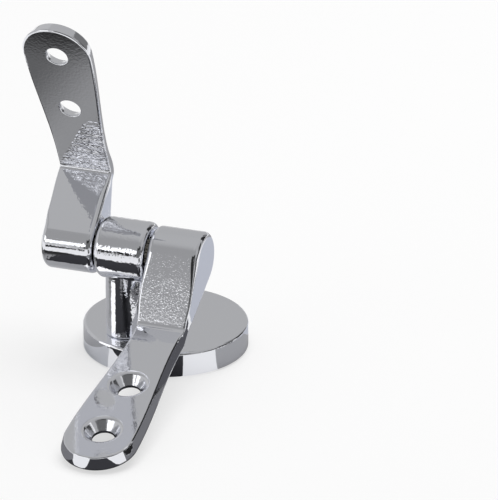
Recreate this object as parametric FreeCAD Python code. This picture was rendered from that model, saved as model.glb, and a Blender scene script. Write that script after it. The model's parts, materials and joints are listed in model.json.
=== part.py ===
"""Toilet seat hinge: an eccentric base disc, a pillar, a seat arm and a lid arm on one knurled pin.

Millimetres, +Z up. The origin is the centre of the base disc's underside, where the fixing bolt enters.
The hinge axis runs along X. +Y points to the front of the toilet, where a closed seat lies.
"""

import FreeCAD, Part
import math
import os
from collections import namedtuple

from FreeCAD import Vector

# Base disc
DISC_DIAMETER = 50.0
DISC_THICKNESS = 7.6
DISC_EDGE_ROUND = 0.8
DISC_RIM = 2.8
DISC_SKIN = 2.4
RIB_THICKNESS = 1.8
RIB_COUNT = 6
FIXING_HOLE_DIAMETER = 6.8
FIXING_HOLE_DEPTH = 5.2
FIXING_BOSS_WALL = 3.6

# Swivel between the disc and the pillar
ECCENTRICITY = 15.2
SWIVEL_ANGLE = 57.5
SPIGOT_DIAMETER = 8.0
PIVOT_WEB = 3.0
PIVOT_BOSS_WALL = 2.4
RUNNING_CLEARANCE = 0.05
SPIGOT_RELIEF = 0.2

# Pillar screw and washer
SCREW_DIAMETER = 5.0
SCREW_REACH = 12.0
SCREW_HEAD_DIAMETER = 9.0
SCREW_HEAD_HEIGHT = 2.6
SCREW_HEAD_ROUND = 0.5
SOCKET_WIDTH = 3.0
SOCKET_DEPTH = 1.6
WASHER_DIAMETER = 11.0
WASHER_THICKNESS = 1.0
SCREW_CLEARANCE = 0.2
WASHER_CLEARANCE = 0.5

# Pillar
AXIS_HEIGHT = 34.8
POST_DIAMETER = 11.7
FOOT_ROUND = 0.7
BARREL_DIAMETER = 18.4
BARREL_WIDTH = 15.8
BARREL_OFFSET = 0.9
BARREL_ROUND = 1.8

# Hinge pin
PIN_DIAMETER = 7.4
PIN_HEAD_DIAMETER = 11.0
PIN_HEAD_THICKNESS = 1.6
PIN_HEAD_ROUND = 0.4
KNURL_DIAMETER = 8.0
KNURL_TEETH = 24
KNURL_BITE = 0.1
PIN_END_CHAMFER = 0.6
PIN_PLAY = 0.15

# What the two arms share
KNUCKLE_DIAMETER = 17.1
KNUCKLE_EDGE_ROUND = 1.8
BLADE_THICKNESS = 4.15
BLADE_EDGE_ROUND = 0.6
SIDE_DRAFT = 17.0
SCREW_HOLE_DIAMETER = 6.6
HOLE_LAND = 1.0
HOLE_EDGE_ROUND = 0.3
COUNTERSINK_DIAMETER = 11.0
COUNTERSINK_ROUND = 1.4
END_CAP = 2.6

# Seat arm, on the left of the pillar, with its flat face on the inside of the crank
SEAT_GAP = 0.6
SEAT_KNUCKLE_WIDTH = 16.3
SEAT_DROP = 16.4
SEAT_BEND = 14.6
SEAT_BEND_ROUND = 1.4
SEAT_BACK_SLOPE = 35.0
SEAT_BACK_ROUND = 9.0
SEAT_SHOULDER = 10.0
SEAT_WAIST = 21.0
SEAT_WAIST_WIDTH = 15.4
SEAT_END_WIDTH = 20.5
SEAT_HOLE_1 = 40.9
SEAT_HOLE_SPACING = 22.0
SEAT_END_PAST_HOLE = 0.1
SEAT_OPEN_ANGLE = 116.1

# Lid arm, on the right of the pillar, with its flat face on the outside of the crank
LID_GAP = 0.8
LID_KNUCKLE_WIDTH = 16.2
LID_DROP = 11.2
LID_BEND = 20.4
LID_BEND_ROUND = 2.2
LID_BACK_SLOPE = 15.6
LID_BACK_ROUND = 6.0
LID_SHOULDER = 15.0
LID_WAIST = 25.0
LID_WAIST_WIDTH = 15.3
LID_END_WIDTH = 21.6
LID_HOLE_1 = 47.8
LID_HOLE_SPACING = 21.5
LID_END_PAST_HOLE = 2.7
LID_TIP_CLEARANCE = 0.2

# Where the pillar stands, and the hinge axis
PILLAR_X = -ECCENTRICITY * math.cos(math.radians(SWIVEL_ANGLE))
PILLAR_Y = -ECCENTRICITY * math.sin(math.radians(SWIVEL_ANGLE))
AXIS_CENTRE = Vector(PILLAR_X, PILLAR_Y, AXIS_HEIGHT)
PIVOT_SEAT_Z = DISC_THICKNESS - PIVOT_WEB
KNUCKLE_RADIUS = KNUCKLE_DIAMETER / 2

# Each knuckle's two ends, along X from the pillar's middle
BARREL_LEFT = BARREL_OFFSET - BARREL_WIDTH / 2
BARREL_RIGHT = BARREL_OFFSET + BARREL_WIDTH / 2
SEAT_RIGHT = BARREL_LEFT - SEAT_GAP
SEAT_LEFT = SEAT_RIGHT - SEAT_KNUCKLE_WIDTH
LID_LEFT = BARREL_RIGHT + LID_GAP
LID_RIGHT = LID_LEFT + LID_KNUCKLE_WIDTH

UP = Vector(0, 0, 1)
ALONG_PIN = Vector(1, 0, 0)

# How closely two lengths agree to count as one, and two directions to count as square
SAME_LENGTH = 1e-6
SQUARE = 1e-4

# An arm lies closed while it is shaped. Its blade points along +Y, above the axis if side is 1, below if -1.
# A bend is where the front of the drop meets the blade. Widths are those half way through the blade.
Arm = namedtuple("Arm", [
    "side", "drop", "bend", "bend_round", "back_slope", "back_round",
    "knuckle_width", "shoulder", "waist", "waist_width", "holes", "end", "end_width",
])


def cylinder_up(diameter, z_low, z_high, x=0.0, y=0.0):
    return Part.makeCylinder(diameter / 2, z_high - z_low, Vector(x, y, z_low), UP)


def cylinder_along_pin(diameter, x_left, x_right):
    return Part.makeCylinder(diameter / 2, x_right - x_left, Vector(x_left, 0, 0), ALONG_PIN)


def circles(shape, diameter, direction, *places):
    """The circular edges of this diameter whose centres lie at one of these places along a direction."""
    found = []
    for edge in shape.Edges:
        curve = edge.Curve
        if not isinstance(curve, Part.Circle) or abs(curve.Radius - diameter / 2) > SAME_LENGTH:
            continue
        if any(abs(curve.Center.dot(direction) - place) < SAME_LENGTH for place in places):
            found.append(edge)
    return found


def base_disc():
    """A disc, hollow below, with a blind fixing hole in the middle and a stepped hole for the pillar."""
    disc = cylinder_up(DISC_DIAMETER, 0, DISC_THICKNESS)
    disc = disc.makeFillet(DISC_EDGE_ROUND, circles(disc, DISC_DIAMETER, UP, DISC_THICKNESS))

    recess_diameter = WASHER_DIAMETER + 2 * WASHER_CLEARANCE
    fixing_boss_diameter = FIXING_HOLE_DIAMETER + 2 * FIXING_BOSS_WALL
    pivot_boss_diameter = recess_diameter + 2 * PIVOT_BOSS_WALL
    hollow_top = DISC_THICKNESS - DISC_SKIN
    hollow = cylinder_up(DISC_DIAMETER - 2 * DISC_RIM, 0, hollow_top)
    kept = [
        cylinder_up(fixing_boss_diameter, 0, hollow_top),
        cylinder_up(pivot_boss_diameter, 0, hollow_top, PILLAR_X, PILLAR_Y),
    ]
    rib = Part.makeBox(DISC_DIAMETER / 2, RIB_THICKNESS, hollow_top, Vector(0, -RIB_THICKNESS / 2, 0))
    for index in range(RIB_COUNT):
        kept.append(rib.rotated(Vector(), UP, SWIVEL_ANGLE + 360 * index / RIB_COUNT))
    disc = disc.cut(hollow.cut(kept))

    spigot_hole_diameter = SPIGOT_DIAMETER + 2 * RUNNING_CLEARANCE
    disc = disc.cut([
        cylinder_up(FIXING_HOLE_DIAMETER, 0, FIXING_HOLE_DEPTH),
        cylinder_up(recess_diameter, 0, PIVOT_SEAT_Z, PILLAR_X, PILLAR_Y),
        cylinder_up(spigot_hole_diameter, 0, DISC_THICKNESS, PILLAR_X, PILLAR_Y),
    ])
    return disc


def pillar():
    """The post and the middle knuckle, cast as one, with a spigot that turns in the disc."""
    barrel = cylinder_along_pin(BARREL_DIAMETER, BARREL_LEFT, BARREL_RIGHT)
    barrel_ends = circles(barrel, BARREL_DIAMETER, ALONG_PIN, BARREL_LEFT, BARREL_RIGHT)
    barrel = barrel.makeFillet(BARREL_ROUND, barrel_ends)
    barrel.translate(AXIS_CENTRE)

    post = cylinder_up(POST_DIAMETER, DISC_THICKNESS, AXIS_HEIGHT, PILLAR_X, PILLAR_Y)
    post = post.makeFillet(FOOT_ROUND, circles(post, POST_DIAMETER, UP, DISC_THICKNESS))
    spigot_low = PIVOT_SEAT_Z + SPIGOT_RELIEF
    spigot = cylinder_up(SPIGOT_DIAMETER, spigot_low, AXIS_HEIGHT, PILLAR_X, PILLAR_Y)

    hole_top = PIVOT_SEAT_Z + SCREW_REACH + SCREW_CLEARANCE
    screw_hole_diameter = SCREW_DIAMETER + 2 * RUNNING_CLEARANCE
    screw_hole = cylinder_up(screw_hole_diameter, spigot_low, hole_top, PILLAR_X, PILLAR_Y)
    pin_bore = cylinder_along_pin(PIN_DIAMETER + 2 * RUNNING_CLEARANCE, BARREL_LEFT, BARREL_RIGHT)
    pin_bore.translate(AXIS_CENTRE)
    return barrel.fuse([post, spigot]).removeSplitter().cut([screw_hole, pin_bore])


def hex_face(width, height):
    """A hexagon of this width across its flats."""
    corners = []
    for side in range(7):
        angle = math.radians(60 * side)
        corner = Vector(math.cos(angle), math.sin(angle), 0) * (width / math.sqrt(3))
        corners.append(corner + UP * height)
    return Part.Face(Part.makePolygon(corners))


def pillar_screw():
    """The socket screw that holds the pillar down from below the disc."""
    head_top = PIVOT_SEAT_Z - WASHER_THICKNESS
    head_low = head_top - SCREW_HEAD_HEIGHT
    head = cylinder_up(SCREW_HEAD_DIAMETER, head_low, head_top)
    head = head.makeFillet(SCREW_HEAD_ROUND, circles(head, SCREW_HEAD_DIAMETER, UP, head_low))
    shank = cylinder_up(SCREW_DIAMETER, head_low, PIVOT_SEAT_Z + SCREW_REACH)
    socket = hex_face(SOCKET_WIDTH, head_low).extrude(UP * SOCKET_DEPTH)
    screw = head.fuse(shank).removeSplitter().cut(socket)
    screw.translate(Vector(PILLAR_X, PILLAR_Y, 0))
    return screw


def pillar_washer():
    """The flat washer under the screw's head."""
    low = PIVOT_SEAT_Z - WASHER_THICKNESS
    ring = cylinder_up(WASHER_DIAMETER, low, PIVOT_SEAT_Z)
    ring = ring.cut(cylinder_up(SCREW_DIAMETER + 2 * SCREW_CLEARANCE, low, PIVOT_SEAT_Z))
    ring.translate(Vector(PILLAR_X, PILLAR_Y, 0))
    return ring


def knurled_bar(x_left, x_right):
    """A straight-knurled length of the pin: sharp teeth from the plain diameter up to the knurl's."""
    points = []
    for step in range(2 * KNURL_TEETH + 1):
        radius = (KNURL_DIAMETER if step % 2 else PIN_DIAMETER) / 2
        angle = math.pi * step / KNURL_TEETH
        points.append(Vector(x_left, radius * math.cos(angle), radius * math.sin(angle)))
    return Part.Face(Part.makePolygon(points)).extrude(ALONG_PIN * (x_right - x_left))


def hinge_pin():
    """The headed pin, loose in the seat arm and the pillar, its knurled end pressed into the lid arm."""
    head_right = SEAT_LEFT + PIN_HEAD_THICKNESS
    tip = LID_RIGHT - END_CAP - PIN_PLAY
    head = cylinder_along_pin(PIN_HEAD_DIAMETER, SEAT_LEFT, head_right)
    head = head.makeFillet(PIN_HEAD_ROUND, circles(head, PIN_HEAD_DIAMETER, ALONG_PIN, SEAT_LEFT))
    shank = cylinder_along_pin(PIN_DIAMETER, SEAT_LEFT, tip)
    shank = shank.makeChamfer(PIN_END_CHAMFER, circles(shank, PIN_DIAMETER, ALONG_PIN, tip))
    knurl = knurled_bar(BARREL_RIGHT + PIN_PLAY, tip - PIN_END_CHAMFER)
    pin = head.fuse([shank, knurl]).removeSplitter()
    pin.translate(AXIS_CENTRE)
    return pin


def arm_section(arm):
    """The arm seen along the pin, as a face in the plane x = 0.

    Two faces that touch the knuckle lead to the blade.
    The front one ends at the bend, the back one has its own slope.
    """
    outer = arm.drop + BLADE_THICKNESS
    reach = arm.end + arm.end_width
    to_touch = math.asin(KNUCKLE_RADIUS / math.hypot(arm.bend, arm.drop))
    front_slope = math.atan2(arm.drop, arm.bend) + to_touch
    back_slope = math.radians(arm.back_slope)
    back_bend = (outer - KNUCKLE_RADIUS / math.cos(back_slope)) / math.tan(back_slope)

    def place(along, away):
        return Vector(0, along, arm.side * away)

    def on_knuckle(angle):
        return place(KNUCKLE_RADIUS * math.cos(angle), KNUCKLE_RADIUS * math.sin(angle))

    def corner(along, away, slope, rounding):
        """The arc where a sloping face turns into the blade: its start, its middle and its end."""
        tangent = rounding * math.tan(slope / 2)
        start = place(along - tangent * math.cos(slope), away - tangent * math.sin(slope))
        middle_y = along + tangent - rounding * math.sin(slope / 2)
        middle = place(middle_y, away - rounding + rounding * math.cos(slope / 2))
        return start, middle, place(along + tangent, away)

    front_touch = on_knuckle(front_slope - math.pi / 2)
    back_touch = on_knuckle(back_slope + math.pi / 2)
    far_side = on_knuckle((front_slope + back_slope) / 2 - math.pi)
    front = corner(arm.bend, arm.drop, front_slope, arm.bend_round)
    back = corner(back_bend, outer, back_slope, arm.back_round)
    curves = [
        Part.Arc(front_touch, far_side, back_touch),
        Part.LineSegment(back_touch, back[0]),
        Part.Arc(*back),
        Part.LineSegment(back[2], place(reach, outer)),
        Part.LineSegment(place(reach, outer), place(reach, arm.drop)),
        Part.LineSegment(place(reach, arm.drop), front[2]),
        Part.Arc(*front),
        Part.LineSegment(front[0], front_touch),
    ]
    return Part.Face(Part.Wire([curve.toShape() for curve in curves]))


def arm_outline(arm, height):
    """The arm's outline at this height, seen square to its blade.

    The knuckle is straight, then come a waist, a blade that flares and a round end.
    The blade's side walls lean out towards +Z, as the casting leaves its mould.
    """
    middle = arm.side * (arm.drop + BLADE_THICKNESS / 2)
    lean = (height - middle) * math.tan(math.radians(SIDE_DRAFT))
    end_radius = arm.end_width / 2 + lean
    knuckle_far = Vector(arm.knuckle_width / 2, -KNUCKLE_DIAMETER, height)
    shoulder = Vector(arm.knuckle_width / 2, arm.shoulder, height)
    waist = Vector(arm.waist_width / 2 + lean, arm.waist, height)
    end = Vector(end_radius, arm.end, height)
    tip = Vector(0, arm.end + end_radius, height)

    def mirrored(point):
        return Vector(-point.x, point.y, height)

    def easing(start, stop):
        """A curve that leaves and arrives along the blade."""
        handle = Vector(0, (stop.y - start.y) / 3, 0)
        curve = Part.BezierCurve()
        curve.setPoles([start, start + handle, stop - handle, stop])
        return curve

    curves = [
        Part.LineSegment(mirrored(knuckle_far), knuckle_far),
        Part.LineSegment(knuckle_far, shoulder),
        easing(shoulder, waist),
        easing(waist, end),
        Part.Arc(end, tip, mirrored(end)),
        easing(mirrored(end), mirrored(waist)),
        easing(mirrored(waist), mirrored(shoulder)),
        Part.LineSegment(mirrored(shoulder), mirrored(knuckle_far)),
    ]
    return Part.Wire([curve.toShape() for curve in curves])


def is_section_face(face):
    """True for a face that runs along the pin everywhere: the section's faces do, the side walls don't."""
    u_low, u_high, v_low, v_high = face.ParameterRange
    for u, v in [(0.1, 0.1), (0.5, 0.5), (0.9, 0.9), (0.1, 0.9)]:
        normal = face.normalAt(u_low + u * (u_high - u_low), v_low + v * (v_high - v_low))
        if abs(normal.dot(ALONG_PIN)) > SQUARE:
            return False
    return True


def round_rims(blank, arm):
    """Rounds the rims between the side walls and the section's faces.

    The rounding is the knuckle's up to the shoulder, and tapers to the blade's along the next edges.
    """
    document = FreeCAD.newDocument()
    base = document.addObject("Part::Feature", "Blank")
    base.Shape = blank
    rims = document.addObject("Part::Fillet", "Rims")
    rims.Base = base

    def rounding(point):
        return KNUCKLE_EDGE_ROUND if point.y < arm.shoulder + SQUARE else BLADE_EDGE_ROUND

    rows = []
    for number, edge in enumerate(blank.Edges, 1):
        kinds = [is_section_face(face) for face in blank.ancestorsOfType(edge, Part.Face)]
        if any(kinds) and not all(kinds):
            first = edge.valueAt(edge.FirstParameter)
            last = edge.valueAt(edge.LastParameter)
            rows.append((number, rounding(first), rounding(last)))
    rims.Edges = rows
    document.recompute()
    rounded = rims.Shape.copy()
    FreeCAD.closeDocument(document.Name)
    return rounded


def arm_casting(arm, countersunk, flat):
    """The whole arm but for its pin bore.

    Its screw holes go from the countersunk face's height to the flat face's.
    """
    outer = arm.drop + BLADE_THICKNESS
    width = arm.end_width + arm.knuckle_width
    ends = sorted([-arm.side * KNUCKLE_DIAMETER, arm.side * outer + arm.side * BLADE_THICKNESS])
    outlines = [arm_outline(arm, height) for height in ends]
    across = arm_section(arm).translated(ALONG_PIN * -width).extrude(ALONG_PIN * 2 * width)
    blank = across.common(Part.makeLoft(outlines, True, True)).removeSplitter()
    casting = round_rims(blank, arm)

    inward = UP * (1 if flat > countersunk else -1)
    hole_radius = SCREW_HOLE_DIAMETER / 2
    sink_radius = COUNTERSINK_DIAMETER / 2
    sink_depth = BLADE_THICKNESS - HOLE_LAND
    for along in arm.holes:
        mouth = Vector(0, along, countersunk)
        sink = Part.makeCone(sink_radius, hole_radius, sink_depth, mouth, inward)
        through = Part.makeCylinder(hole_radius, BLADE_THICKNESS, mouth, inward)
        casting = casting.cut(sink.fuse(through))
    sink_rims = circles(casting, COUNTERSINK_DIAMETER, UP, countersunk)
    casting = casting.makeFillet(COUNTERSINK_ROUND, sink_rims)
    hole_rims = circles(casting, SCREW_HOLE_DIAMETER, UP, flat)
    return casting.makeFillet(HOLE_EDGE_ROUND, hole_rims)


def turned_about_pin(shape, angle, x_middle):
    """An arm set in its place along the pin and opened by this angle from where it lies when closed."""
    shape.translate(ALONG_PIN * x_middle)
    shape.rotate(Vector(), ALONG_PIN, angle)
    shape.translate(AXIS_CENTRE)
    return shape


def seat_arm():
    """The arm under the seat: flat on the inside of the crank, with its countersinks on the outside."""
    hole_2 = SEAT_HOLE_1 + SEAT_HOLE_SPACING
    arm = Arm(
        side=-1, drop=SEAT_DROP, bend=SEAT_BEND, bend_round=SEAT_BEND_ROUND,
        back_slope=SEAT_BACK_SLOPE, back_round=SEAT_BACK_ROUND,
        knuckle_width=SEAT_KNUCKLE_WIDTH, shoulder=SEAT_SHOULDER,
        waist=SEAT_WAIST, waist_width=SEAT_WAIST_WIDTH,
        holes=(SEAT_HOLE_1, hole_2), end=hole_2 + SEAT_END_PAST_HOLE, end_width=SEAT_END_WIDTH,
    )
    casting = arm_casting(arm, countersunk=-SEAT_DROP - BLADE_THICKNESS, flat=-SEAT_DROP)
    half_width = SEAT_KNUCKLE_WIDTH / 2
    recess_right = PIN_HEAD_THICKNESS + PIN_PLAY - half_width
    casting = casting.cut([
        cylinder_along_pin(PIN_DIAMETER + 2 * RUNNING_CLEARANCE, -half_width, half_width),
        cylinder_along_pin(PIN_HEAD_DIAMETER + 2 * PIN_PLAY, -half_width, recess_right),
    ])
    return turned_about_pin(casting, SEAT_OPEN_ANGLE, (SEAT_LEFT + SEAT_RIGHT) / 2)


def lid_rest_angle(arm):
    """How far the lid arm is folded back when the end of its flat face is down at the disc's underside."""
    outer = arm.drop + BLADE_THICKNESS
    lean = BLADE_THICKNESS / 2 * math.tan(math.radians(SIDE_DRAFT))
    tip = arm.end + arm.end_width / 2 + lean
    room = AXIS_HEIGHT - LID_TIP_CLEARANCE
    return 180 + math.degrees(math.asin(room / math.hypot(tip, outer)) - math.atan2(outer, tip))


def lid_arm():
    """The arm on the lid: flat on the outside of the crank, with its countersinks on the inside."""
    hole_2 = LID_HOLE_1 + LID_HOLE_SPACING
    arm = Arm(
        side=1, drop=LID_DROP, bend=LID_BEND, bend_round=LID_BEND_ROUND,
        back_slope=LID_BACK_SLOPE, back_round=LID_BACK_ROUND,
        knuckle_width=LID_KNUCKLE_WIDTH, shoulder=LID_SHOULDER,
        waist=LID_WAIST, waist_width=LID_WAIST_WIDTH,
        holes=(LID_HOLE_1, hole_2), end=hole_2 + LID_END_PAST_HOLE, end_width=LID_END_WIDTH,
    )
    casting = arm_casting(arm, countersunk=LID_DROP, flat=LID_DROP + BLADE_THICKNESS)
    half_width = LID_KNUCKLE_WIDTH / 2
    pin_bore = cylinder_along_pin(KNURL_DIAMETER - 2 * KNURL_BITE, -half_width, half_width - END_CAP)
    return turned_about_pin(casting.cut(pin_bore), lid_rest_angle(arm), (LID_LEFT + LID_RIGHT) / 2)


os.makedirs("parts", exist_ok=True)
for build in (base_disc, pillar, pillar_screw, pillar_washer, hinge_pin, seat_arm, lid_arm):
    shape = build()
    shape.exportStep(f"parts/{build.__name__}.step")
    print(f"{build.__name__}: {len(shape.Solids)} solid, {shape.Volume / 1000:.2f} cm3")
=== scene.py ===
# %% [markdown]
# # A chromed toilet seat hinge
#
# The hinge is a small assembly of zinc castings: a round base, a pillar that swivels on it, and two
# cranked arms that turn on one pin. The solids come ready made and stay where they are. This lesson
# gives them their finish, puts a proper knurl on the pin, sets up the studio that a mirror finish
# needs, and stands the camera where the photographer stood.
#
# The first cell loads the solids. Later cells count from them, mostly from the hinge axis.

# %% Load the solids
import json
import math

import bpy
from mathutils import Matrix, Vector


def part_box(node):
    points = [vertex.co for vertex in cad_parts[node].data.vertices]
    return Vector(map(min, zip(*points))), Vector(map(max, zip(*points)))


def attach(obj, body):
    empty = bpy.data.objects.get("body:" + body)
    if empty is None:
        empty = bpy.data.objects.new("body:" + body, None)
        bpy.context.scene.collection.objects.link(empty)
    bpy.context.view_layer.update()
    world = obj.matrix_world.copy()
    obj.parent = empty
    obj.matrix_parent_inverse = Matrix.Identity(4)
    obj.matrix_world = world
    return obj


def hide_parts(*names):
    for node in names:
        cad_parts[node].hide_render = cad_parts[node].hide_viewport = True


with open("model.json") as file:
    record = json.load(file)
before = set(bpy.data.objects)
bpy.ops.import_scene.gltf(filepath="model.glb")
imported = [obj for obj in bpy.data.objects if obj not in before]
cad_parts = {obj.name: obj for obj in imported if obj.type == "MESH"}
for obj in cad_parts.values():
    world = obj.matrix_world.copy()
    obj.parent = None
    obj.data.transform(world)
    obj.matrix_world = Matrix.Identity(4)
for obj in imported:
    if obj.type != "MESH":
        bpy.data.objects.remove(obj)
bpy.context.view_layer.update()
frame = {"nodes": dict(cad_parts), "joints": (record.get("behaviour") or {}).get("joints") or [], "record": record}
scene = bpy.context.scene
scene.view_settings.view_transform = "Standard"
joints = {joint["name"]: joint for joint in frame["joints"]}
hinge_axis = Vector(joints["seat_hinge"]["pos_m"])
print("nodes:", sorted(frame["nodes"]))
print("the hinge axis is", round(hinge_axis.z * 1000, 1), "mm above the table")

# %% [markdown]
# ## The camera
#
# The photograph was taken with a long lens from a little over a metre away, from above and from the
# right of the hinge, so its lines hardly converge. You could drag a camera about until the picture
# fits. Three angles are easier to adjust, because each changes one thing only, and the camera's own
# axes follow from them.

# %% Which way the camera looks
CAMERA_AZIMUTH = math.radians(19.3)
CAMERA_ELEVATION = math.radians(23.4)
CAMERA_ROLL = math.radians(0.3)

camera_back = Vector((
    math.sin(CAMERA_AZIMUTH) * math.cos(CAMERA_ELEVATION),
    -math.cos(CAMERA_AZIMUTH) * math.cos(CAMERA_ELEVATION),
    math.sin(CAMERA_ELEVATION),
))
level_right = Vector((math.cos(CAMERA_AZIMUTH), math.sin(CAMERA_AZIMUTH), 0))
level_up = camera_back.cross(level_right)
camera_right = math.cos(CAMERA_ROLL) * level_right + math.sin(CAMERA_ROLL) * level_up
camera_up = camera_back.cross(camera_right)
print("the camera looks along", [round(part, 3) for part in -camera_back])

# %% [markdown]
# The hinge stands left of the middle of the picture. To get it there the camera steps aside and doesn't
# turn: a step keeps the perspective, which a turn would change. Blender gives a lens in millimetres,
# for a film that is sensor_width wide, so a focal length counted in pixels is scaled by those two
# widths.

# %% Camera
CAMERA_DISTANCE = 1.2187
CAMERA_SIDESTEP = 0.03705
CAMERA_RISE = 0.00821
AIM_HEIGHT = 0.0255
FOCAL_PIXELS = 4075.4
LONG_SIDE_PIXELS = 500

aim = Vector((hinge_axis.x, hinge_axis.y, AIM_HEIGHT))
eye = aim + CAMERA_DISTANCE * camera_back + CAMERA_SIDESTEP * camera_right + CAMERA_RISE * camera_up
facing = Matrix((camera_right, camera_up, camera_back)).transposed()

camera_data = bpy.data.cameras.new("camera")
camera_data.lens = FOCAL_PIXELS * camera_data.sensor_width / LONG_SIDE_PIXELS
camera = bpy.data.objects.new("camera", camera_data)
camera.matrix_world = Matrix.Translation(eye) @ facing.to_4x4()
scene.collection.objects.link(camera)
scene.camera = camera
print("lens", round(camera_data.lens, 1), "mm at", round(CAMERA_DISTANCE, 2), "m")

# %% [markdown]
# ## Shader maths as plain expressions
#
# A material with masks needs dozens of Math nodes. You could wire them by hand, but a formula is easier
# to read and to change. One small class wraps a socket, so that `a * 2 + b` adds the nodes by itself.
# Every other node comes from one method, which sets the node's own settings first and then its sockets.


# %% A socket that takes part in arithmetic
class Signal:
    """An output socket of a node tree. Arithmetic on it adds Math nodes to the tree."""

    def __init__(self, tree, socket=None):
        self.tree = tree
        self.socket = socket

    def node(self, kind, settings=None, sockets=None, output=0):
        """A new node of this kind: first its settings are made, then its sockets are filled or linked."""
        made = self.tree.nodes.new(kind)
        for name, value in (settings or {}).items():
            setattr(made, name, value)
        for name, value in (sockets or {}).items():
            if isinstance(value, Signal):
                self.tree.links.new(value.socket, made.inputs[name])
            else:
                made.inputs[name].default_value = value
        return Signal(self.tree, made.outputs[output] if made.outputs else None)

    def math(self, operation, first, second=0.0):
        return self.node("ShaderNodeMath", {"operation": operation}, {0: first, 1: second})

    def __add__(self, other):
        return self.math("ADD", self, other)

    def __sub__(self, other):
        return self.math("SUBTRACT", self, other)

    def __rsub__(self, other):
        return self.math("SUBTRACT", other, self)

    def __mul__(self, other):
        return self.math("MULTIPLY", self, other)

    __radd__ = __add__
    __rmul__ = __mul__

    def clamped(self, low, high):
        """The value itself between low and high, and the nearer of the two outside."""
        return self.math("MINIMUM", self.math("MAXIMUM", self, low), high)

    def step(self, low, high):
        """0 below low, 1 above high, with a smooth rise between them."""
        sockets = {"Value": self, "From Min": low, "From Max": high}
        return self.node("ShaderNodeMapRange", {"interpolation_type": "SMOOTHSTEP"}, sockets)

    def band(self, low, high, softness):
        """1 between low and high, 0 outside, with a smooth edge on either side."""
        above_low = self.step(low - softness, low + softness)
        above_high = self.step(high - softness, high + softness)
        return above_low * (1 - above_high)

    def xyz(self):
        """The three parts of a vector."""
        split = self.node("ShaderNodeSeparateXYZ", sockets={0: self}).socket.node
        return [Signal(self.tree, output) for output in split.outputs]


print("a socket can do", [name for name in vars(Signal) if not name.startswith("_")])

# %% [markdown]
# ## The studio
#
# Chrome has no colour of its own: what you see on it is the room. This room is a tent of pale cloth,
# darker on the camera's side, which counts as the front here, and lightest overhead. A dome with lamps
# behind it would do as well, but a world made of nodes has no mesh to get in the way, and each
# brightness is one number.

# %% Tent
TENT_FRONT = 0.36
TENT_BACK = 0.475
TENT_TOP = 0.49

# Parts of a direction, along Y and Z, between which the cloth changes
FRONT_TO_BACK = (-0.3, 0.3)
WALL_TO_TOP = (0.75, 0.95)

world = bpy.data.worlds.new("studio")
scene.world = world
world.use_nodes = True
world.node_tree.nodes.clear()
sky = Signal(world.node_tree)
sky_x, sky_y, sky_z = sky.node("ShaderNodeTexCoord").xyz()
brightness = sky_y.step(*FRONT_TO_BACK) * (TENT_BACK - TENT_FRONT) + TENT_FRONT
brightness = brightness + sky_z.step(*WALL_TO_TOP) * (TENT_TOP - brightness)
print("tent: front", TENT_FRONT, "back", TENT_BACK, "top", TENT_TOP)

# %% [markdown]
# A tent alone makes the metal look like grey paint. A bright panel in front draws the white lines along
# the knuckles, and dark flags on the right give the rims their black ones. Each is a patch of sky
# between two azimuths and two elevations, laid over the patches before it. Azimuth counts in degrees
# from the front of the hinge towards the lid arm's side.

# %% Panels and flags
PANELS = {
    "front panel": {"azimuth": (-58, -15), "elevation": (7, 24), "brightness": 1.6},
    "far edge of the table": {"azimuth": (-58, -8), "elevation": (-3, 7), "brightness": 0.60},
    "left panel": {"azimuth": (-150, -58), "elevation": (4, 38), "brightness": 0.55},
    "corner flag": {"azimuth": (-10, 80), "elevation": (-3, 30), "brightness": 0.15},
    "right flag": {"azimuth": (80, 125), "elevation": (-3, 30), "brightness": 0.07},
    "upper flag": {"azimuth": (-10, 45), "elevation": (25, 36), "brightness": 0.03},
    "right panel": {"azimuth": (56, 98), "elevation": (13, 60), "brightness": 0.45},
    "back flag": {"azimuth": (132, 150), "elevation": (-3, 47), "brightness": 0.03},
    "grey flag": {"azimuth": (150, 163), "elevation": (-3, 32), "brightness": 0.20},
}
PANEL_EDGE = math.radians(1.0)

azimuth = sky.math("ARCTAN2", sky_x, sky_y * -1)
elevation = sky.math("ARCSINE", sky_z)
for panel in PANELS.values():
    sideways = azimuth.band(*map(math.radians, panel["azimuth"]), PANEL_EDGE)
    upright = elevation.band(*map(math.radians, panel["elevation"]), PANEL_EDGE)
    brightness = brightness + sideways * upright * (panel["brightness"] - brightness)
background = sky.node("ShaderNodeBackground", sockets={"Color": (1, 1, 1, 1), "Strength": brightness})
sky.node("ShaderNodeOutputWorld", sockets={"Surface": background})
print("the tent has", len(PANELS), "panels and flags")

# %% [markdown]
# ## Paper for the stage
#
# Photographers of shiny things work with paper: a white strip draws a highlight and a black card draws
# an edge. Principled materials would do for it, but paper has no gloss. A plain diffuse shader is
# enough for the matt sheets, and an emission shader for the bright ones, because it needs no lamp.


# %% Paper
def new_material(name):
    """An empty material, with a Signal to build its nodes from."""
    material = bpy.data.materials.new(name)
    material.use_nodes = True
    material.node_tree.nodes.clear()
    return material, Signal(material.node_tree)


def to_surface(shader):
    shader.node("ShaderNodeOutputMaterial", sockets={"Surface": shader})


def matt(name, colour):
    material, start = new_material(name)
    to_surface(start.node("ShaderNodeBsdfDiffuse", sockets={"Color": (*colour, 1)}))
    return material


def glowing(name, strength):
    material, start = new_material(name)
    to_surface(start.node("ShaderNodeEmission", sockets={"Color": (1, 1, 1, 1), "Strength": strength}))
    return material


print("paper comes matt or glowing")

# %% [markdown] A sheet is one flat face, made from its corners.


# %% Sheets
def sheet(name, corners, material):
    """A flat sheet with these corners, in metres."""
    mesh = bpy.data.meshes.new(name)
    mesh.from_pydata(corners, [], [range(len(corners))])
    mesh.materials.append(material)
    made = bpy.data.objects.new(name, mesh)
    scene.collection.objects.link(made)
    return made


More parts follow.
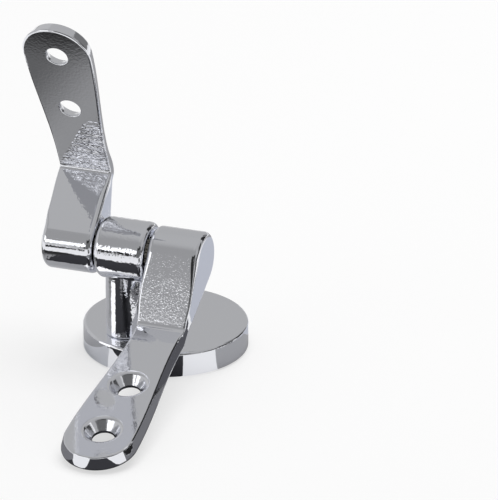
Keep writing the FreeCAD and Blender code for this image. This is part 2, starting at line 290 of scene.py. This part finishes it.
def only_in_reflections(made):
    made.visible_camera = False
    made.visible_diffuse = False
    made.visible_shadow = False


def beside_axis(x, y, z):
    """A place in metres, from millimetres counted from the foot of the hinge axis."""
    return (hinge_axis.x + x / 1000, hinge_axis.y + y / 1000, z / 1000)


print("sheets count from", [round(part, 4) for part in beside_axis(0, 0, 0)])

# %% [markdown]
# ## The table
#
# The table is pale and matt, and the hinge's shadow on it is faint. A stronger lamp would brighten the
# table, but it would deepen the shadow with it. So the table glows a little by itself, for the camera
# and for the mirrors only: the light that it throws on other things is still that of plain cloth. It
# lies just below the hinge, which leaves room for the cards.

# %% Table
TABLE_SIZE = 6.0
TABLE_DROP = 0.0006
TABLE_COLOUR = (0.95, 0.95, 0.95)
TABLE_GLOW = 0.62
GLOWS_FOR = ("Is Camera Ray", "Is Glossy Ray", "Is Transmission Ray")


def pale_table(name, colour, glow):
    """Matt cloth that partly glows for what the camera and the mirrors see of it."""
    material, start = new_material(name)
    light_path = start.node("ShaderNodeLightPath").socket.node.outputs
    seen = sum(Signal(start.tree, light_path[kind]) for kind in GLOWS_FOR)
    cloth = start.node("ShaderNodeBsdfDiffuse", sockets={"Color": (*colour, 1)})
    light = start.node("ShaderNodeEmission", sockets={"Color": (1, 1, 1, 1), "Strength": 1.0})
    share = seen.clamped(0.0, 1.0) * glow
    to_surface(start.node("ShaderNodeMixShader", sockets={0: share, 1: cloth, 2: light}))
    return material


half = TABLE_SIZE / 2
table_corners = [(x * half, y * half, -TABLE_DROP) for x, y in ((-1, -1), (1, -1), (1, 1), (-1, 1))]
sheet("table", table_corners, pale_table("table", TABLE_COLOUR, TABLE_GLOW))
print("table", TABLE_SIZE, "m square,", TABLE_DROP * 1000, "mm below the hinge")

# %% [markdown]
# ## Cards on the table
#
# The lower half of each knuckle, the post and the rims of the arms look down at the table and mirror
# it. Where the picture has black or grey in them, a card lies at the place that they see. Cards cut to
# shape are easier to move about than a painted table, one at a time. Each lies a hair above the one
# before it, because two faces in one plane would flicker.

# %% Cards on the table
CARD_STEP = 0.00004

# Colour, then corners in millimetres from the foot of the hinge axis
CARDS = {
    "left_grey_card": ((0.50, 0.50, 0.51), [(-90, -16), (-18, -16), (-18, 45), (-90, 45)]),
    "left_pale_card": (
        (0.85, 0.86, 0.88),
        [(-18, -16), (-14, -16), (-9, -13), (-2, -10), (-2, 45), (-18, 45)],
    ),
    "left_dark_card": (
        (0.06, 0.06, 0.06),
        [(-112, -14), (-72, -14), (-76, 22), (-84, 82), (-140, 82), (-126, 30)],
    ),
    "right_grey_card": ((0.42, 0.42, 0.43), [(28, 0), (46, 0), (46, 28), (28, 28)]),
    "right_back_card": ((0.56, 0.58, 0.64), [(30, 28), (64, 28), (100, 240), (20, 240)]),
    "right_dark_card": (
        (0.20, 0.20, 0.21),
        [(43, -70), (55, -70), (58, 22), (50, 22), (47, 0), (42, -45)],
    ),
    "right_black_card": ((0.02, 0.02, 0.02), [(55, -70), (66, -70), (66, 8), (63, 24), (58, 22)]),
    "right_far_card": (
        (0.10, 0.10, 0.11),
        [(56, 22), (66, 8), (104, 64), (94, 78), (86, 70), (72, 51), (62, 36)],
    ),
    "front_black_card": (
        (0.05, 0.05, 0.055),
        [
            (-35, -15), (-16, -15), (-13, -18), (-4, -18), (0, -14), (8, -9),
            (22, -9), (33, -20), (42, -44), (34, -92), (17, -92), (15.5, -78),
            (3, -80), (-4, -84), (-46, -70), (-46, -50), (-43, -42), (-37, -25),
        ],
    ),
    "far_back_card": ((0.36, 0.36, 0.37), [(-130, 145), (330, 140), (330, 420), (-130, 420)]),
    "front_right_card": (
        (0.10, 0.10, 0.10),
        [(60, -95), (100, -70), (560, -420), (300, -620), (90, -200)],
    ),
    "seat_line_card": (
        (0.03, 0.03, 0.03),
        [(-86, -172), (-96, -232), (-100, -272), (-148.5, -400), (-215, -400)],
    ),
    "front_grey_card": ((0.22, 0.22, 0.23), [(-8, -56), (6, -56), (6, -80), (-8, -84)]),
}

for layer, (name, (colour, corners)) in enumerate(CARDS.items(), 1):
    card_height = 1000 * (layer * CARD_STEP - TABLE_DROP)
    card_corners = [beside_axis(x, y, card_height) for x, y in corners]
    only_in_reflections(sheet(name, card_corners, matt(name, colour)))
print("laid", len(CARDS), "cards, the top one", round(card_height, 2), "mm from the hinge's underside")

# %% [markdown]
# ## Standing sheets
#
# Some reflections need something that stands up. The white strip puts the bright line on the post, and
# the right strip the glints in the lid arm's countersinks. Two black sheets draw the dark lines in the
# bright bands of the pillar's and the seat arm's knuckles. The seat shade has the cloth's brightness,
# and hides the part of the front panel that would make the seat arm's band too wide. They could be
# patches of sky, but the sky is the same for every knuckle, and a near sheet is seen by one and missed
# by the next.

# %% Standing sheets
WHITE_STRIP_GLOW = 1.3
RIGHT_STRIP_GLOW = 1.0
LINE_BLACK = (0.03, 0.03, 0.03)

# Material, then corners in millimetres from the foot of the hinge axis
STANDING_SHEETS = {
    "white_strip": (
        glowing("white_strip", WHITE_STRIP_GLOW),
        [(-13.8, -9.4, 4), (-8.8, -15, 4), (-8.8, -15, 21), (-13.8, -9.4, 21)],
    ),
    "right_strip": (
        glowing("right_strip", RIGHT_STRIP_GLOW),
        [(50, -60, 18), (54, -68, 18), (54, -68, 45), (50, -60, 45)],
    ),
    "pillar_line": (
        matt("pillar_line", LINE_BLACK),
        [(-62, -150, 40), (-41, -150, 40), (-41, -150, 63), (-62, -150, 63)],
    ),
    "seat_line": (
        matt("seat_line", LINE_BLACK),
        [(-185, -400, 0), (-148.5, -400, 0), (-148.5, -400, 30), (-156, -400, 26), (-172, -400, 1)],
    ),
    "seat_shade": (
        glowing("seat_shade", TENT_FRONT),
        [(-215, -400, 171), (-157, -400, 171), (-157, -400, 250), (-215, -400, 250)],
    ),
}

for name, (material, corners) in STANDING_SHEETS.items():
    only_in_reflections(sheet(name, [beside_axis(*corner) for corner in corners], material))
print("stood up", len(STANDING_SHEETS), "sheets")

# %% [markdown]
# ## The card that fades
#
# The seat arm's blade leans over the table and mirrors a grey that gets darker to the left and to the
# front. An image could be painted for it. Two smooth fades need only four places on the table and two
# shares of light, and stay smooth from any distance.

# %% Card under the seat arm
SEAT_CARD_GREY = 0.37
SEAT_CARD = [(-90, -75, 0), (-40, -75, 0), (-34, -19, 0), (-34, -4, 0), (-90, -4, 0)]

# First place, last place, and the share of the light that is lost between them
FADE_TO_THE_LEFT = (beside_axis(-44, -17, 0), beside_axis(-65, -30, 0), 0.6)
FADE_TO_THE_FRONT = (beside_axis(-60, -38, 0), beside_axis(-60, -50, 0), 0.8)


def fading(name, grey, *fades):
    """Matt grey that loses light along each fade."""
    material, start = new_material(name)
    x, y, _ = start.node("ShaderNodeTexCoord", output=3).xyz()
    for first, last, lost in fades:
        way = Vector(last) - Vector(first)
        reached = ((x - first[0]) * way.x + (y - first[1]) * way.y) * (1 / way.length_squared)
        grey = grey * (1 - reached.step(0.0, 1.0) * lost)
    to_surface(start.node("ShaderNodeBsdfDiffuse", sockets={"Color": grey}))
    return material


seat_card_paper = fading("seat_card", SEAT_CARD_GREY, FADE_TO_THE_LEFT, FADE_TO_THE_FRONT)
only_in_reflections(sheet("seat_card", [beside_axis(*corner) for corner in SEAT_CARD], seat_card_paper))
print("the seat arm's card has", len(SEAT_CARD), "corners")

# %% [markdown]
# ## The lamp
#
# A large lamp overhead gives the soft shadow that sets the hinge on the table. In the chrome it would
# show as a white square, so it hides from reflections. No real lamp can do that, but it leaves shadow
# and reflections to be set apart from each other.

# %% Lamp
LAMP_POWER = 14.0
LAMP_SIZE = 1.2
LAMP_PLACE = (0.2, 0.3, 1.4)

lamp_data = bpy.data.lights.new("overhead", "AREA")
lamp_data.energy = LAMP_POWER
lamp_data.size = LAMP_SIZE
lamp = bpy.data.objects.new("overhead", lamp_data)
lamp.location = LAMP_PLACE
lamp.visible_glossy = False
scene.collection.objects.link(lamp)
print("lamp of", LAMP_POWER, "W,", LAMP_PLACE[2], "m above the table")

# %% [markdown]
# ## Polished chrome
#
# The plating is a mirror, but the casting under it is never quite flat: long, shallow waves and a fine
# peel bend the reflections a little, and handling leaves a faint bloom. Waves in the mesh would need
# millions of faces. Noise in the bump and in the roughness shows the same and leaves the solid alone. A
# casting can add a height of its own, and says where the plating lies on rough metal.

# %% Chrome
CHROME_COLOUR = (0.815, 0.825, 0.865, 1)
WAVE_SCALE = 160.0
WAVE_DEPTH = 0.000005
PEEL_SCALE = 1300.0
PEEL_DEPTH = 0.000002
BLOOM_SCALE = 90.0
BLOOM_DETAIL = 4.0
POLISHED_ROUGHNESS = 0.01
BLOOM_ROUGHNESS = 0.05
BARE_ROUGHNESS = 0.10
GRAIN_SCALE = 1400.0
GRAIN_DETAIL = 2.0
GRAIN_HEIGHT = 0.00003


def noise(place, scale, detail=1.0):
    return place.node("ShaderNodeTexNoise", sockets={"Vector": place, "Scale": scale, "Detail": detail})


def metal_surface(colour, roughness, height):
    """The surface of a metal, with its height in metres."""
    normal = height.node("ShaderNodeBump", sockets={"Height": height, "Strength": 1.0, "Distance": 1.0})
    look = {"Base Color": colour, "Metallic": 1.0, "Roughness": roughness, "Normal": normal}
    to_surface(height.node("ShaderNodeBsdfPrincipled", sockets=look))


def chrome(name, casting=None, peel=PEEL_DEPTH):
    """Polished chrome. The casting gives an added height and a mask of rough metal."""
    material, start = new_material(name)
    place = start.node("ShaderNodeTexCoord", output=3)
    height = noise(place, WAVE_SCALE) * WAVE_DEPTH + noise(place, PEEL_SCALE) * peel
    roughness = noise(place, BLOOM_SCALE, BLOOM_DETAIL) * BLOOM_ROUGHNESS + POLISHED_ROUGHNESS
    if casting:
        added_height, rough_metal = casting(place)
        grain = noise(place, GRAIN_SCALE, GRAIN_DETAIL) * rough_metal * GRAIN_HEIGHT
        height = height + added_height + grain
        roughness = roughness + rough_metal * BARE_ROUGHNESS
    metal_surface(CHROME_COLOUR, roughness, height)
    return material


print("chrome peels by", PEEL_DEPTH * 1e6, "micrometres where nothing else is asked for")

# %% [markdown]
# ## The base and the pillar
#
# Both are polished all over. The pillar's peel is much coarser than the base's: in the photograph the
# bright bands on its knuckle and on the post have ragged edges, while the base mirrors cleanly. One
# function with another depth makes both, so the chrome stays the same metal.

# %% Base and pillar
PILLAR_PEEL_DEPTH = 0.00004


def dress(node_name, material):
    node = frame["nodes"][node_name]
    node.data.materials.clear()
    node.data.materials.append(material)
    print(node_name, "is dressed in", material.name)


dress("base_disc", chrome("disc_chrome"))
dress("pillar", chrome("pillar_chrome", peel=PILLAR_PEEL_DEPTH))

# %% [markdown]
# ## Finding a place on an arm
#
# The next finishes belong to certain faces of the arms, which stand at odd angles. Painted masks would
# find them, and so does arithmetic. Turn the arm about the pin until it lies as when closed: then one
# coordinate runs along it, and one stands square to its blade. The hinge's record knows how far that
# is, and where the screw holes are.

# %% Coordinates along an arm
mounts = {mount["name"]: Vector(mount["pos_m"]) for mount in frame["record"]["mounts"]}


def closing_turn(joint, extra=0.0):
    """The angle that shuts an arm and turns it by some more degrees."""
    return math.radians(joints[joint]["range_deg"][0] + extra)


def turned(place, joint, extra=0.0):
    """A place on an arm that is turned shut and some more: along X, along the arm, away from the axis."""
    sockets = {"Vector": place, "Center": hinge_axis, "Angle": closing_turn(joint, extra)}
    across, along, away = place.node("ShaderNodeVectorRotate", {"rotation_type": "X_AXIS"}, sockets).xyz()
    return across, along - hinge_axis.y, away - hinge_axis.z


def hole_when_shut(joint, name):
    """The middle of a screw hole, counted from the hinge axis, once its arm is shut."""
    return Matrix.Rotation(closing_turn(joint), 3, "X") @ (mounts[name] - hinge_axis)


for joint in ("seat_hinge", "lid_hinge"):
    print(joint, "closes by", round(math.degrees(closing_turn(joint)), 1), "degrees")

# %% [markdown]
# ## Countersinks
#
# The polishing wheel doesn't get into a countersink, so the plating there lies on the bare casting and
# looks grainy. A second material on those faces would need the solid's mesh to be cut up. A mask needs
# only the distance from each hole's middle, and a depth at which it ends, so that it stays off the
# other side of the arm.

# %% Countersinks
SINK_RIM = (0.0049, 0.0057)
SINK_END_RISE = 0.00012
SINK_END_SOFTNESS = 0.0003


def in_countersinks(shut_place, joint, hole_names):
    """1 inside an arm's countersinks, 0 elsewhere."""
    across, along, away = shut_place
    inside = 0
    for name in hole_names:
        sideways = across - mounts[name].x
        lengthwise = along - hole_when_shut(joint, name).y
        squares = sideways * sideways + lengthwise * lengthwise
        inside = inside + (1 - squares.math("SQRT", squares).step(*SINK_RIM))
    end = hole_when_shut(joint, hole_names[0]).z + SINK_END_RISE
    return inside * (1 - away.step(end - SINK_END_SOFTNESS, end + SINK_END_SOFTNESS))


print("countersinks fade out", SINK_RIM[1] * 1000, "mm from the middle of a hole")

# %% [markdown]
# ## The lid arm
#
# The wheel doesn't reach the inner corner of a crank either. The lid arm's drop face, which leads from
# the knuckle down to the blade, sparkles with fine specks that crowd in patches, and with larger
# pimples towards the bend. Turned until that face lies level, it is a knuckle's radius away from the
# axis, so a thin band picks it out. The specks are noise with all but its peaks cut off, because a
# smooth bump would shimmer and not sparkle.

# %% Lid arm
# Places and heights in metres, along the drop face from the hinge axis and square to it
LID_DROP_SLOPE = 50.3
LID_DROP_END = (0.0195, 0.0210)
LID_PEEL_DEPTH = 0.000006
FACE_BAND = 0.0006
FACE_SOFTNESS = 0.0003
PATCH_SCALE = 350.0
PATCH_DETAIL = 2.0
PATCH_PEAKS = (0.35, 0.65)
PATCH_STRETCH = (0.0070, 0.0150)
PATCH_SOFTNESS = 0.0020
SPECK_SCALE = 2600.0
SPECK_PEAKS = (0.55, 0.85)
SPECK_HEIGHT = 0.00001
SPECKS_BETWEEN_PATCHES = 0.25
PIMPLE_SCALE = 1000.0
PIMPLE_PEAKS = (0.65, 0.74)
PIMPLE_HEIGHT = 0.00005
PIMPLE_START = (0.0125, 0.0145)

knuckle_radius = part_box("lid_arm")[1].y - hinge_axis.y


def lid_casting(place):
    holes = ("lid_screw_hole_1", "lid_screw_hole_2")
    rough_metal = in_countersinks(turned(place, "lid_hinge"), "lid_hinge", holes)
    _, along, away = turned(place, "lid_hinge", -LID_DROP_SLOPE)
    on_face = (away + knuckle_radius).band(-FACE_BAND, FACE_BAND, FACE_SOFTNESS)
    on_face = on_face * (1 - along.step(*LID_DROP_END))
    patches = noise(place, PATCH_SCALE, PATCH_DETAIL).step(*PATCH_PEAKS)
    crowd = patches * along.band(*PATCH_STRETCH, PATCH_SOFTNESS) + SPECKS_BETWEEN_PATCHES
    specks = noise(place, SPECK_SCALE).step(*SPECK_PEAKS) * crowd * SPECK_HEIGHT
    pimples = noise(place, PIMPLE_SCALE).step(*PIMPLE_PEAKS) * along.step(*PIMPLE_START) * PIMPLE_HEIGHT
    return (specks + pimples) * on_face, rough_metal


dress("lid_arm", chrome("lid_chrome", lid_casting, peel=LID_PEEL_DEPTH))
print("the knuckles' radius is", round(knuckle_radius * 1000, 2), "mm")

# %% [markdown]
# ## Ripples on the seat arm
#
# On the seat arm the unpolished patch is at the foot of the blade, where it shows ripples across it.
# The patch starts at the bend, has a slanted left edge and fades out up the blade. The ripples are
# noise that is drawn out sideways: shrink the coordinate that runs across, and the pattern gets longer
# that way. The mean is taken off the noise, so that the patch is neither raised nor sunk as a whole and
# its edges don't show as steps.

# %% Ripples
# Places in metres, along the blade from the hinge axis, except for the edge, from the arm's left side
SEAT_BEND = 0.0150
RIPPLE_START = (SEAT_BEND, SEAT_BEND + 0.0010)
RIPPLE_END = (0.0310, 0.0380)
RIPPLE_EDGE = (0.0015, 0.0030)
RIPPLE_EDGE_SLANT = 0.6
RIPPLE_SCALE = 700.0
RIPPLE_DETAIL = 2.0
RIPPLE_SHRINK = 0.3
RIPPLE_DEPTH = 0.0009
NOISE_MEAN = 0.5
BLADE_FACE = (-0.0172, -0.0169)


def ripples(shut_place):
    """The height of the ripples at the foot of the seat arm's blade."""
    across, along, away = shut_place
    from_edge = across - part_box("seat_arm")[0].x - (along - SEAT_BEND) * RIPPLE_EDGE_SLANT
    lengthwise = along.step(*RIPPLE_START) * (1 - along.step(*RIPPLE_END))
    patch = lengthwise * from_edge.step(*RIPPLE_EDGE) * away.step(*BLADE_FACE)
    shrunk = {0: across * RIPPLE_SHRINK, 1: along, 2: away}
    drawn_out = across.node("ShaderNodeCombineXYZ", sockets=shrunk)
    return (noise(drawn_out, RIPPLE_SCALE, RIPPLE_DETAIL) - NOISE_MEAN) * patch * RIPPLE_DEPTH


print("ripples end", RIPPLE_END[1] * 1000, "mm from the hinge axis")

# %% [markdown]
# ## The seat arm's drop face
#
# In the photograph this face mirrors the arm's own blade, as a dark triangle. The solid's face is a
# little too steep to catch it, and a polished casting is seldom quite flat. A steady slope in the bump
# leans the face's normals without moving a vertex, and a square term makes it lean more towards the
# bend. The height is clamped at both ends, because a jump there would draw a line. The mask keeps it
# off the side walls.

# %% Seat arm
SEAT_PEEL_DEPTH = 0.00002
SEAT_DROP_SLOPE = 70.3
SEAT_DROP_LENGTH = 0.0205
DROP_LEAN = 0.13
DROP_HOLLOW = 2.4
DROP_SKIN = (0.0070, 0.0071)


def drop_lean(place):
    """The height that leans the seat arm's drop face."""
    _, along, away = turned(place, "seat_hinge", SEAT_DROP_SLOPE)
    run = along.clamped(0.0, SEAT_DROP_LENGTH)
    return run * (run * DROP_HOLLOW + DROP_LEAN) * away.step(*DROP_SKIN)


def seat_casting(place):
    holes = ("seat_screw_hole_1", "seat_screw_hole_2")
    shut_place = turned(place, "seat_hinge")
    rough_metal = in_countersinks(shut_place, "seat_hinge", holes)
    return ripples(shut_place) - drop_lean(place), rough_metal


dress("seat_arm", chrome("seat_chrome", seat_casting, peel=SEAT_PEEL_DEPTH))

# %% [markdown]
# ## Zinc-plated steel
#
# The screw and washer under the base and the pin are turned from steel bar. Their zinc plate is duller
# than the chrome and a little cloudy, and the pin's has a yellow passivation. The pin's colour is also
# darkened as painted shade, so that it looks dark in the narrow gaps between the knuckles where it shows.
# The same kind of material does for all of them: a coarse noise clouds both colour and roughness, and a
# fine one is the grain that turning leaves.

# %% Steel
SCREW_COLOUR = (0.70, 0.71, 0.73)
# The pin: yellow passivated zinc, darkened further as painted shade for the narrow gaps between the knuckles
PIN_COLOUR_AND_GAP_SHADE = (0.45, 0.42, 0.34)
CLOUD_SCALE = 300.0
CLOUD_DETAIL = 3.0
CLOUD_PEAKS = (0.35, 0.65)
CLOUD_SHADE = 0.8
CLOUD_ROUGHNESS = 0.2
PLATE_ROUGHNESS = 0.2
TURNING_SCALE = 2500.0
TURNING_DEPTH = 0.000002


def plated_steel(name, colour):
    material, start = new_material(name)
    place = start.node("ShaderNodeTexCoord", output=3)
    cloud = noise(place, CLOUD_SCALE, CLOUD_DETAIL)
    dull = [CLOUD_SHADE * part for part in colour]
    shades = {"Factor": cloud.step(*CLOUD_PEAKS), "A": (*dull, 1), "B": (*colour, 1)}
    tint = start.node("ShaderNodeMix", {"data_type": "RGBA"}, shades, output=2)
    roughness = cloud * CLOUD_ROUGHNESS + PLATE_ROUGHNESS
    metal_surface(tint, roughness, noise(place, TURNING_SCALE) * TURNING_DEPTH)
    return material


screw_steel = plated_steel("screw_steel", SCREW_COLOUR)
dress("pillar_screw", screw_steel)
dress("pillar_washer", screw_steel)
pin_steel = plated_steel("pin_steel", PIN_COLOUR_AND_GAP_SHADE)

# %% [markdown]
# ## The knurled pin
#
# A straight knurl is rolled into the bar by a wheel, which raises a row of equal ridges with rounded
# crests. They show in the gap beside the pillar and grip the bore of the lid arm. An Array modifier
# could repeat a ridge round the pin. A Geometry Nodes tree does it with named inputs, so each size is
# set in one place. They are in metres, and the solid pin that is replaced gives the length, the head
# and the place of the knurl.

# %% Inputs of the pin
KNURL_CLEARANCE = 0.00015
KNURL_INSET = 0.0006

pin_low, pin_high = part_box("hinge_pin")
pillar_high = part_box("pillar")[1]
PIN_SIZES = {
    "Teeth": 24,
    "Tooth Diameter": 0.00085,
    "Knurl Diameter": 0.0080,
    "Knurl Start": pillar_high.x - pin_low.x + KNURL_CLEARANCE,
    "Knurl End": pin_high.x - pin_low.x - KNURL_INSET,
    "Shank Diameter": 0.0074,
    "Shank Length": pin_high.x - pin_low.x,
    "Head Diameter": pin_high.z - pin_low.z,
    "Head Thickness": 0.0016,
    "Head Chamfer": 0.0004,
}

pin_tree = bpy.data.node_groups.new("knurled_pin", "GeometryNodeTree")
identifiers = {}
for name, value in PIN_SIZES.items():
    kind = "NodeSocketInt" if isinstance(value, int) else "NodeSocketFloat"
    identifiers[name] = pin_tree.interface.new_socket(name, in_out="INPUT", socket_type=kind).identifier
pin_tree.interface.new_socket("Pin", in_out="OUTPUT", socket_type="NodeSocketGeometry")
pin_start = Signal(pin_tree)
entry = pin_start.node("NodeGroupInput").socket.node
size = {name: Signal(pin_tree, entry.outputs[name]) for name in PIN_SIZES}
print("the pin has", len(size), "inputs and is", round(PIN_SIZES["Shank Length"] * 1000, 1), "mm long")

# %% [markdown]
# The tree builds the pin standing on its head. The shank is a plain rod and the head a wider one, with
# a cone below it for the chamfer. Both rods start at the top of the cone, so their ends are hidden
# inside the head.

# %% Shank and head
ROUND_VERTICES = 64


def rod(diameter, low, high, vertices):
    """A round rod that stands between two heights."""
    sockets = {"Vertices": vertices, "Radius": diameter * 0.5, "Depth": high - low}
    mesh = pin_start.node("GeometryNodeMeshCylinder", sockets=sockets)
    lift = pin_start.node("ShaderNodeCombineXYZ", sockets={2: (high + low) * 0.5})
    return pin_start.node("GeometryNodeTransform", sockets={"Geometry": mesh, "Translation": lift})


shank = rod(size["Shank Diameter"], size["Head Chamfer"], size["Shank Length"], ROUND_VERTICES)
head = rod(size["Head Diameter"], size["Head Chamfer"], size["Head Thickness"], ROUND_VERTICES)
chamfer = pin_start.node("GeometryNodeMeshCone", sockets={
    "Vertices": ROUND_VERTICES,
    "Radius Bottom": size["Head Diameter"] * 0.5 - size["Head Chamfer"],
    "Radius Top": size["Head Diameter"] * 0.5,
    "Depth": size["Head Chamfer"],
})
print("shank, head and chamfer take", len(pin_tree.nodes), "nodes")

# %% [markdown]
# One ridge of the knurl is a thin rod, let half into the shank. A circle with a point for each tooth
# repeats it round the pin, as instances of one mesh.

# %% Knurl
RIDGE_VERTICES = 12

ridge = rod(size["Tooth Diameter"], size["Knurl Start"], size["Knurl End"], RIDGE_VERTICES)
circle = pin_start.node("GeometryNodeMeshCircle", sockets={
    "Vertices": size["Teeth"],
    "Radius": (size["Knurl Diameter"] - size["Tooth Diameter"]) * 0.5,
})
ridges = pin_start.node("GeometryNodeInstanceOnPoints", sockets={"Points": circle, "Instance": ridge})
print("the knurl has", PIN_SIZES["Teeth"], "teeth")

# %% [markdown]
# The last nodes join the pieces and lay the pin along the hinge axis. The place goes into the mesh in
# this way, and the object stays at the origin. Realize Instances turns the ridges into real faces,
# because an export drops instances, and Set Material plates them all.

# %% Lay and plate the pin
joined = pin_start.node("GeometryNodeJoinGeometry", sockets={"Geometry": shank})
for piece in (head, chamfer, ridges):
    pin_tree.links.new(piece.socket, joined.socket.node.inputs[0])
laid = pin_start.node("GeometryNodeTransform", sockets={
    "Geometry": joined,
    "Translation": (pin_low.x, hinge_axis.y, hinge_axis.z),
    "Rotation": (0, math.pi / 2, 0),
})
whole = pin_start.node("GeometryNodeRealizeInstances", sockets={"Geometry": laid})
plated = pin_start.node("GeometryNodeSetMaterial", sockets={"Geometry": whole, "Material": pin_steel})
pin_start.node("NodeGroupOutput", sockets={0: plated})
print("the whole tree has", len(pin_tree.nodes), "nodes")

# %% [markdown]
# The tree runs once, on an empty carrier. A modifier's inputs go by the sockets' identifiers, which
# stay the same when a socket is renamed, and they are set before the first evaluation. The result is
# copied into a plain mesh, and the carrier goes with its modifier. The pin turns with the lid arm, into
# which it is pressed.

# %% Pin
SHARP_ANGLE = math.radians(40)

carrier = bpy.data.objects.new("pin_carrier", bpy.data.meshes.new("pin_carrier"))
scene.collection.objects.link(carrier)
modifier = carrier.modifiers.new("knurled_pin", "NODES")
modifier.node_group = pin_tree
for name, value in PIN_SIZES.items():
    modifier[identifiers[name]] = value
evaluated = carrier.evaluated_get(bpy.context.evaluated_depsgraph_get())
pin_mesh = bpy.data.meshes.new_from_object(evaluated)
bpy.data.objects.remove(carrier)

pin_mesh.shade_smooth()
pin_mesh.set_sharp_from_angle(angle=SHARP_ANGLE)
pin = bpy.data.objects.new("knurled_pin", pin_mesh)
scene.collection.objects.link(pin)
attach(pin, "lid_arm")
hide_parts("hinge_pin")
print("pin of", len(pin_mesh.polygons), "faces")

# %% [markdown]
# ## Sizes
#
# Looks never change the size, and the new pin keeps within the solid pin's box.
